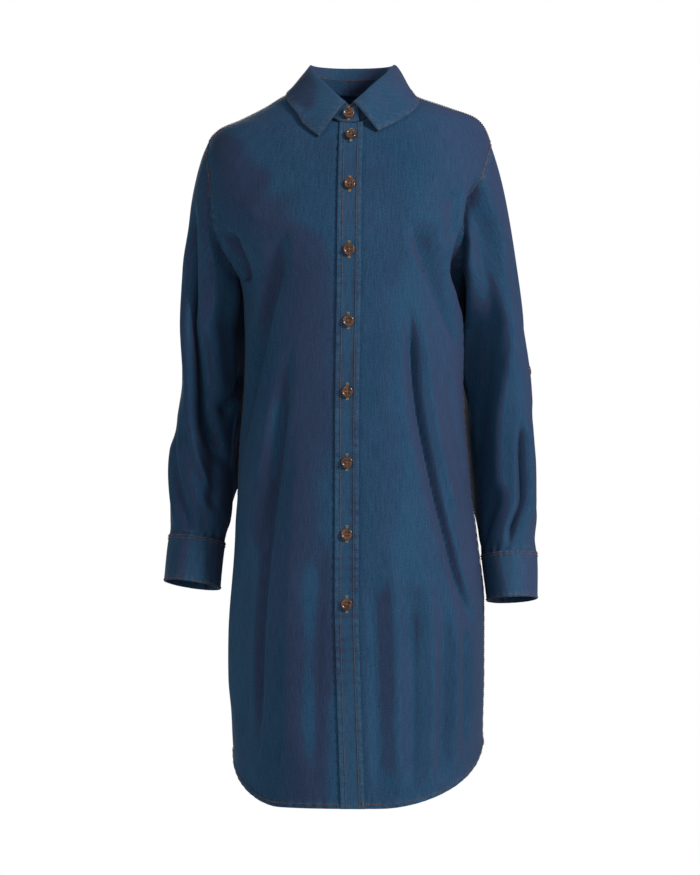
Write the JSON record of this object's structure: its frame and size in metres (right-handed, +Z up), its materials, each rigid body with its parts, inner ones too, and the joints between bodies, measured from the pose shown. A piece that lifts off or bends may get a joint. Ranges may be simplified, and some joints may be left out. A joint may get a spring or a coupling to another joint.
{
  "type": "shirt dress",
  "caption": "Long-sleeved denim shirt dress with a button front, collar on a stand, cuffs and a curved hem, worn-shaped and hollow.",
  "frame": {"origin": "centre of the neck base, level with the tops of the shoulder seams, where the wearer holds the dress up", "axes": "+Z up the wearer's spine, -Y out of the front, +X to the wearer's left"},
  "size_m": [0.504, 0.2615, 0.9935],
  "materials": {
    "denim": "light indigo denim with fine lengthwise slubs, matt",
    "denim_band": "the same denim, doubled and edge-stitched in copper thread",
    "button": "polished brown horn-effect resin"
  },
  "bodies": {
    "root": {"front_right": "denim", "front_left": "denim", "back": "denim", "yoke": "denim", "sleeve_right": "denim", "sleeve_left": "denim", "collar_stand": "denim", "placket": "denim_band", "collar_fall": "denim_band", "cuff_right": "denim_band", "cuff_left": "denim_band", "sleeve_placket_right": "denim_band", "sleeve_placket_left": "denim_band", "button_stand": "button", "button_1": "button", "button_2": "button", "button_3": "button", "button_4": "button", "button_5": "button", "button_6": "button", "button_7": "button", "button_8": "button", "button_tab_right": "button", "button_tab_left": "button", "button_cuff_right": "button", "button_cuff_left": "button"}
  },
  "joints": []
}
